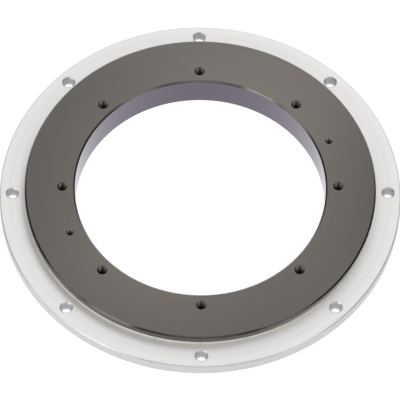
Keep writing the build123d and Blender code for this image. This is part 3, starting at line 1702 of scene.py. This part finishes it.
@dataclass(frozen=True)
class Anodised(Finish):
    """Turned aluminium under an anodised film: a satin metal below and a clear oxide above.

    edge_film and hole_film say what share of the film is left on worked edges and down holes. Down holes,
    the hole colour and the film that is lost are painted shade; the darkening towards the rim is painted
    shade and the bore's violet tint a painted reflection.
    """

    colour: Colour
    band_colour: Colour
    edge_colour: Colour
    # Painted shade colour down holes.
    hole_colour: Colour
    metallic: float
    roughness: tuple[float, float]
    anisotropy: float
    film: float
    film_roughness: float
    film_index: float = 1.77
    line_depth: float = 0.002
    line_spacing: float = 0.3
    line_share: float = 0.75
    band_width: float = 3.0
    grain_depth: float = 0.0012
    grain_size: float = 0.12
    mark_size: float = 34.0
    mark_cover: float = 0.5
    mark_roughness: float = 0.03
    edge_amount: float = 1.0
    edge_break_up: float = 0.8
    edge_film: float = 1.0
    edge_polish: float = 0.0
    hole_reach: float = 1.3
    hole_film: float = 1.0
    # Painted shade towards the rim and a painted violet reflection tint in the bore.
    facing: PaintedFaceShade | None = None

    def wire(self, wiring: Wiring) -> Socket:
        """Wires the finish.

        Args:
            wiring: the material's tree.

        Returns:
            The shader that the surface shows.
        """
        lines = wiring.group(TurnedLines(), {"Spacing": self.line_spacing, "Band Width": self.band_width})
        grain = wiring.group(SatinGrain(), {"Grain Size": self.grain_size})
        edges = wiring.group(EdgeRub(), {"Amount": self.edge_amount, "Break Up": self.edge_break_up})
        # Mask of the painted shade down holes.
        holes = wiring.group(HoleShade(), {"Reach": self.hole_reach})
        edge, hole = edges.outputs["Mask"], holes.outputs["Mask"]
        tangent = wiring.node("ShaderNodeTangent", direction_type="RADIAL", axis="Z")
        surface = wiring.node(
            "ShaderNodeBsdfPrincipled",
            {
                "Base Color": self.wire_colour(wiring, lines, grain, edge, hole),
                "Metallic": self.metallic,
                "Roughness": self.wire_roughness(wiring, lines, edge),
                "Anisotropic": self.anisotropy,
                "Coat Weight": self.wire_film(wiring, edge, hole),
                "Coat Roughness": self.film_roughness,
                "Coat IOR": self.film_index,
                "Normal": self.wire_normal(wiring, lines, grain),
                "Tangent": tangent.outputs["Tangent"],
            },
        )
        return surface.outputs["BSDF"]

    def wire_colour(self, wiring: Wiring, lines: Node, grain: Node, edge: Socket, hole: Socket) -> Socket:
        """Wires the metal's colour, with the painted shade down holes and towards the rim, and the bore's
        painted reflection tint.

        Args:
            wiring: the material's tree.
            lines: the turned lines.
            grain: the grain.
            edge: the mask of the worked edges.
            hole: the mask of the painted shade down holes.

        Returns:
            The colour.
        """
        bands = wiring.spread(lines.outputs["Tone"], 0.0, self.line_share)
        specks = wiring.spread(grain.outputs["Tone"], 0.0, 1.0)
        tone = wiring.maths("MULTIPLY_ADD", specks, 1.0 - self.line_share, bands)
        colour = wiring.blend(tone, self.colour, self.band_colour)
        # Painted shade towards the rim and a painted violet reflection tint in the bore.
        if self.facing:
            colour = self.facing.wire(wiring, colour)
        colour = wiring.blend(edge, colour, self.edge_colour)
        # Painted shade down holes.
        return wiring.blend(hole, colour, self.hole_colour)

    def wire_roughness(self, wiring: Wiring, lines: Node, edge: Socket) -> Socket:
        """Wires the metal's roughness: uneven along the turned lines, and smoother on worked edges.

        Args:
            wiring: the material's tree.
            lines: the turned lines.
            edge: the mask of the worked edges.

        Returns:
            The roughness.
        """
        marks = wiring.group(HandlingMarks(), {"Patch Size": self.mark_size, "Cover": self.mark_cover})
        rough = wiring.spread(lines.outputs["Tone"], *self.roughness)
        rough = wiring.maths("MULTIPLY_ADD", marks.outputs["Mask"], self.mark_roughness, rough)
        return wiring.maths("MULTIPLY_ADD", edge, -self.edge_polish, rough)

    def wire_film(self, wiring: Wiring, edge: Socket, hole: Socket) -> Socket | float:
        """Wires the film's weight.

        Args:
            wiring: the material's tree.
            edge: the mask of the worked edges.
            hole: the mask of the painted shade down holes.

        Returns:
            The weight: a plain number where the film is the same all over.
        """
        if self.edge_film == self.hole_film == 1.0:
            return self.film
        film = wiring.maths("MULTIPLY_ADD", edge, self.film * (self.edge_film - 1.0), self.film)
        # The film thins down holes with the painted shade.
        return wiring.maths("MULTIPLY_ADD", hole, self.film * (self.hole_film - 1.0), film)

    def wire_normal(self, wiring: Wiring, lines: Node, grain: Node) -> Socket:
        """Wires the relief of the turned lines and the grain.

        Args:
            wiring: the material's tree.
            lines: the turned lines.
            grain: the grain.

        Returns:
            The normal.
        """
        height = wiring.maths("MULTIPLY", lines.outputs["Height"], self.line_depth)
        height = wiring.maths("MULTIPLY_ADD", grain.outputs["Height"], self.grain_depth, height)
        return wiring.bumped(height)


@dataclass(frozen=True)
class MouldedPolymer(Finish):
    """Dense bearing polymer with a fine moulded grain, a little paler on its edges."""

    colour: Colour
    shade_colour: Colour
    roughness: tuple[float, float] = (0.38, 0.52)
    grain_depth: float = 0.004
    grain_size: float = 0.25
    edge_amount: float = 0.3
    edge_break_up: float = 0.6
    edge_gain: float = 1.08
    refraction: float = 1.5
    depth_weight: float = 0.1
    depth_reach: Colour = (1.0, 0.8, 0.5)

    def wire(self, wiring: Wiring) -> Socket:
        """Wires the finish.

        Args:
            wiring: the material's tree.

        Returns:
            The shader that the surface shows.
        """
        grain = wiring.group(SatinGrain(), {"Grain Size": self.grain_size})
        edges = wiring.group(EdgeRub(), {"Amount": self.edge_amount, "Break Up": self.edge_break_up})
        tone = wiring.spread(grain.outputs["Tone"], 0.0, 1.0)
        edge_colour = tuple(min(1.0, part * self.edge_gain) for part in self.colour)
        colour = wiring.blend(tone, self.colour, self.shade_colour)
        height = wiring.maths("MULTIPLY", grain.outputs["Height"], self.grain_depth)
        surface = wiring.node(
            "ShaderNodeBsdfPrincipled",
            {
                "Base Color": wiring.blend(edges.outputs["Mask"], colour, edge_colour),
                "Roughness": wiring.spread(grain.outputs["Tone"], *self.roughness),
                "IOR": self.refraction,
                "Subsurface Weight": self.depth_weight,
                "Subsurface Radius": self.depth_reach,
                "Subsurface Scale": MM,
                "Normal": wiring.bumped(height),
            },
        )
        return surface.outputs["BSDF"]


@dataclass(frozen=True)
class PlatedSteel(Finish):
    """Zinc-plated screw steel."""

    colour: Colour
    shade_colour: Colour
    roughness: tuple[float, float] = (0.24, 0.4)
    grain_depth: float = 0.002
    grain_size: float = 0.2
    grain_share: float = 0.7
    mark_size: float = 3.0
    mark_cover: float = 0.55
    mark_share: float = 0.5

    def wire(self, wiring: Wiring) -> Socket:
        """Wires the finish.

        Args:
            wiring: the material's tree.

        Returns:
            The shader that the surface shows.
        """
        grain = wiring.group(SatinGrain(), {"Grain Size": self.grain_size})
        marks = wiring.group(HandlingMarks(), {"Patch Size": self.mark_size, "Cover": self.mark_cover})
        tone = wiring.spread(grain.outputs["Tone"], 0.0, self.grain_share)
        tone = wiring.maths("MULTIPLY_ADD", marks.outputs["Mask"], self.mark_share, tone)
        height = wiring.maths("MULTIPLY", grain.outputs["Height"], self.grain_depth)
        surface = wiring.node(
            "ShaderNodeBsdfPrincipled",
            {
                "Base Color": wiring.blend(tone, self.colour, self.shade_colour),
                "Metallic": 1.0,
                "Roughness": wiring.spread(grain.outputs["Tone"], *self.roughness),
                "Normal": wiring.bumped(height),
            },
        )
        return surface.outputs["BSDF"]


CLEAR_ANODISED = Anodised(
    name="clear_anodised_satin",
    colour=(0.715, 0.705, 0.695),
    band_colour=(0.70, 0.692, 0.683),
    edge_colour=(0.54, 0.535, 0.534),
    # Painted shade down the plate's holes.
    hole_colour=(0.56, 0.552, 0.56),
    metallic=0.72,
    roughness=(0.53, 0.59),
    anisotropy=0.1,
    film=0.15,
    film_roughness=0.4,
    edge_polish=0.25,
    hole_reach=0.2,
)
HARD_ANODISED = Anodised(
    name="hard_anodised_dark",
    colour=(0.0615, 0.0470, 0.0332),
    band_colour=(0.0572, 0.0438, 0.0309),
    edge_colour=(0.0130, 0.0102, 0.0075),
    # Painted shade down the tapped holes.
    hole_colour=(0.004, 0.0035, 0.003),
    metallic=0.9,
    roughness=(0.34, 0.38),
    anisotropy=0.85,
    film=0.97,
    film_roughness=0.16,
    edge_film=0.66,
    hole_film=0.12,
    # Painted shade towards the rim and a painted violet reflection tint in the bore.
    facing=PaintedFaceShade(
        outer_colour=(0.0345, 0.0262, 0.0186),
        outer_amount=0.85,
        bore_colour=(0.032, 0.0195, 0.0415),
        inner_radius=75.3,
        outer_radius=105.0,
    ),
)
SLIDER_POLYMER = MouldedPolymer("slider_polymer_cream", (0.91, 0.87, 0.785), (0.88, 0.84, 0.755))
SCREW_STEEL = PlatedSteel("screw_steel_zinc", (0.66, 0.66, 0.65), (0.5, 0.5, 0.49))


@dataclass(frozen=True)
class PaleFloor(Finish):
    """Matt floor, white to the camera but for the ring's shadow, and a cool white in the metal's gloss.

    It is clear to a camera below it, so that the ring's underside can be looked at.
    """

    colour: Colour = (0.86, 0.86, 0.87)
    shadow_share: float = 0.14
    glow: float = 0.95
    mirror_colour: Colour = (0.955, 0.94, 1.0)
    bore_mirror_colour: Colour = (0.976, 0.935, 1.015)
    bore_mirror_fade: tuple[float, float] = (80.0, 110.0)
    mirror_glow: float = 1.067
    mirror_far_share: float = 0.12
    mirror_fade: tuple[float, float] = (200.0, 700.0)

    def wire(self, wiring: Wiring) -> Socket:
        """Wires the floor's finish.

        Args:
            wiring: the material's tree.

        Returns:
            The shader that the floor shows.
        """
        path = wiring.node("ShaderNodeLightPath").outputs
        surface = wiring.node("ShaderNodeBsdfDiffuse", {"Color": opaque(self.colour)}).outputs[0]
        reach = wiring.length(wiring.millimetres())
        far_glow = self.mirror_glow * self.mirror_far_share
        mirrored = wiring.mapped(reach, *self.mirror_fade, self.mirror_glow, far_glow, smooth=True)
        outside = wiring.mapped(reach, *self.bore_mirror_fade)
        mirror_colour = wiring.blend(outside, self.bore_mirror_colour, self.mirror_colour)
        for ray, colour, share, glow in (
            ("Is Glossy Ray", mirror_colour, 0.0, mirrored),
            ("Is Transmission Ray", WHITE, self.shadow_share, self.glow),
            ("Is Camera Ray", WHITE, self.shadow_share, self.glow),
        ):
            base = wiring.node("ShaderNodeBsdfDiffuse", {"Color": opaque((share, share, share))})
            light = wiring.node("ShaderNodeEmission", {"Color": opaque(colour), "Strength": glow})
            seen = wiring.node("ShaderNodeAddShader", {0: base.outputs[0], 1: light.outputs[0]})
            surface = wiring.choose(path[ray], surface, seen.outputs[0])
        below = wiring.node("ShaderNodeNewGeometry").outputs["Backfacing"]
        hidden = wiring.maths("MULTIPLY", below, path["Is Camera Ray"])
        clear = wiring.node("ShaderNodeBsdfTransparent").outputs[0]
        return wiring.choose(hidden, surface, clear)


@dataclass(frozen=True)
class Lamp:
    """A square softbox that faces the ring."""

    name: str
    azimuth: float
    elevation: float
    distance: float
    width: float
    power: float

    def build(self) -> bpy.types.Object:
        """Makes the lamp.

        Returns:
            The lamp's object.
        """
        light = bpy.data.lights.new(self.name, "AREA")
        light.size = self.width * MM
        light.energy = self.power
        lamp = bpy.data.objects.new(self.name, light)
        lamp.matrix_world = (
            Matrix.Rotation(math.radians(self.azimuth + 90.0), 4, "Z")
            @ Matrix.Rotation(math.radians(90.0 - self.elevation), 4, "X")
            @ Matrix.Translation((0.0, 0.0, self.distance * MM))
        )
        bpy.context.scene.collection.objects.link(lamp)
        return lamp


@dataclass(frozen=True)
class SkyPatch:
    """A soft light patch of the studio's surroundings."""

    azimuth: float
    elevation: float
    half_width: float
    softness: float
    level: float

    def way(self) -> Vector:
        """The direction that the patch lies in.

        Returns:
            The direction, as a vector of length 1.
        """
        turn = math.radians(self.azimuth)
        rise = math.radians(self.elevation)
        flat = math.cos(rise)
        return Vector((flat * math.cos(turn), flat * math.sin(turn), math.sin(rise)))

    def wire(self, wiring: Wiring, way: Socket) -> Socket:
        """Wires the patch's light.

        Args:
            wiring: the world's tree.
            way: the direction that is looked in.

        Returns:
            The light's level in that direction.
        """
        near = wiring.node("ShaderNodeVectorMath", {0: way, 1: self.way()}, operation="DOT_PRODUCT")
        rim = math.cos(math.radians(self.half_width + self.softness))
        core = math.cos(math.radians(self.half_width))
        return wiring.mapped(near.outputs["Value"], rim, core, high=self.level, smooth=True)


@dataclass(frozen=True)
class Surroundings:
    """Soft gradient with lighter patches, which lights the ring. The camera sees it as white."""

    low_level: float = 0.1
    high_level: float = 0.62
    gradient: tuple[float, float] = (0.1, 0.85)
    patches: tuple[SkyPatch, ...] = (
        SkyPatch(37.0, 60.0, 6.0, 20.0, 2.45),
        SkyPatch(105.0, 33.0, 6.0, 18.0, 0.57),
        SkyPatch(194.0, 22.0, 3.0, 13.0, 1.98),
        SkyPatch(270.0, 31.0, 6.0, 16.0, 0.86),
        SkyPatch(317.0, 29.0, 4.0, 14.0, 1.57),
        SkyPatch(338.0, 52.0, 3.0, 9.0, 3.7),
        SkyPatch(202.0, 52.0, 3.0, 9.0, 2.1),
    )

    def wire_level(self, wiring: Wiring) -> Socket:
        """Wires the light's level in each direction.

        Args:
            wiring: the world's tree.

        Returns:
            The level.
        """
        way = wiring.node("ShaderNodeTexCoord").outputs["Generated"]
        up = wiring.node("ShaderNodeSeparateXYZ", {0: way}).outputs[2]
        level = wiring.mapped(up, *self.gradient, self.low_level, self.high_level, smooth=True)
        for patch in self.patches:
            level = wiring.maths("ADD", level, patch.wire(wiring, way))
        return level

    def build(self) -> bpy.types.World:
        """Makes the world.

        Returns:
            The world, which is the scene's.
        """
        world = bpy.data.worlds.new("studio_surroundings")
        world.use_nodes = True
        world.node_tree.nodes.clear()
        wiring = Wiring(world.node_tree)
        level = self.wire_level(wiring)
        light = wiring.node("ShaderNodeBackground", {"Color": opaque(WHITE), "Strength": level})
        white = wiring.node("ShaderNodeBackground", {"Color": opaque(WHITE), "Strength": 1.0})
        path = wiring.node("ShaderNodeLightPath").outputs
        seen = wiring.choose(path["Is Camera Ray"], light.outputs[0], white.outputs[0])
        wiring.node("ShaderNodeOutputWorld", {"Surface": seen})
        bpy.context.scene.world = world
        return world


@dataclass(frozen=True)
class Studio:
    """Plain pale floor, soft surroundings and three soft lamps."""

    floor_radius: float = 6000.0
    floor_gap: float = 0.02
    floor_steps: int = 64
    floor_finish: PaleFloor = PaleFloor("studio_floor")
    surroundings: Surroundings = Surroundings()
    lamps: tuple[Lamp, ...] = (
        Lamp("key_softbox", 223.0, 29.0, 1400.0, 520.0, 3.0),
        Lamp("back_softbox", 80.0, 40.0, 700.0, 320.0, 0.152),
        Lamp("top_softbox", 95.0, 58.0, 700.0, 320.0, 0.164),
    )

    def build_floor(self) -> bpy.types.Object:
        """Makes the floor, face up and just clear of the ring's underside.

        Returns:
            The floor's object.
        """
        draft = Draft()
        rim = circle(self.floor_radius, self.floor_steps)
        draft.add_cap([Spot(x, y, -self.floor_gap) for x, y in rim])
        floor = draft.build("studio_floor", self.floor_finish.build())
        floor.modifiers.clear()
        if floor.data.polygons[0].normal.z < 0:
            floor.data.flip_normals()
        return floor

    def build(self) -> None:
        """Makes the floor, the surroundings and the lamps."""
        self.build_floor()
        self.surroundings.build()
        for lamp in self.lamps:
            lamp.build()
        LOG.info("studio: floor, surroundings and %d lamps", len(self.lamps))


@dataclass(frozen=True)
class PhotoCamera:
    """The photograph's viewpoint, fitted to the rings' edges and the holes' centres."""

    target_height: float
    distance: float = 2722.8
    elevation: float = 57.97
    turn: float = -1.05
    roll: float = 0.846
    pan: float = 0.002
    tilt: float = -0.0884
    focal_pixels: float = 4545.2
    picture_pixels: float = 400.0
    sensor_width: float = 36.0
    nearest: float = 50.0
    farthest: float = 50000.0

    def build(self) -> bpy.types.Object:
        """Makes the camera and looks through it.

        Returns:
            The camera's object.
        """
        camera = bpy.data.cameras.new("photo_camera")
        camera.sensor_fit = "HORIZONTAL"
        camera.sensor_width = self.sensor_width
        camera.lens = self.sensor_width * self.focal_pixels / self.picture_pixels
        camera.clip_start = self.nearest * MM
        camera.clip_end = self.farthest * MM
        view = bpy.data.objects.new("photo_camera", camera)
        view.matrix_world = (
            Matrix.Translation((0.0, 0.0, self.target_height * MM))
            @ Matrix.Rotation(math.radians(self.turn), 4, "Z")
            @ Matrix.Rotation(math.radians(90.0 - self.elevation), 4, "X")
            @ Matrix.Translation((0.0, 0.0, self.distance * MM))
            @ Matrix.Rotation(math.radians(self.pan), 4, "Y")
            @ Matrix.Rotation(math.radians(self.tilt), 4, "X")
            @ Matrix.Rotation(math.radians(self.roll), 4, "Z")
        )
        bpy.context.scene.collection.objects.link(view)
        bpy.context.scene.camera = view
        return view


def main() -> None:
    """Builds every piece, the studio and the camera."""
    logging.basicConfig(level=logging.INFO, format="%(name)s: %(message)s")
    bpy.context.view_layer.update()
    clear = CLEAR_ANODISED.build()
    dark = HARD_ANODISED.build()
    plate = PlateRing.from_frame()
    plate.build(clear)
    HubRing.from_frame().build(dark)
    RetainingRing.from_frame().build(dark)
    ClampScrews.from_frame().build(SCREW_STEEL.build())
    Sliders.from_frame(plate).build(SLIDER_POLYMER.build())
    Studio().build()
    PhotoCamera(plate.top).build()
    bpy.context.scene.view_settings.view_transform = "Standard"


if __name__ == "__main__":
    main()
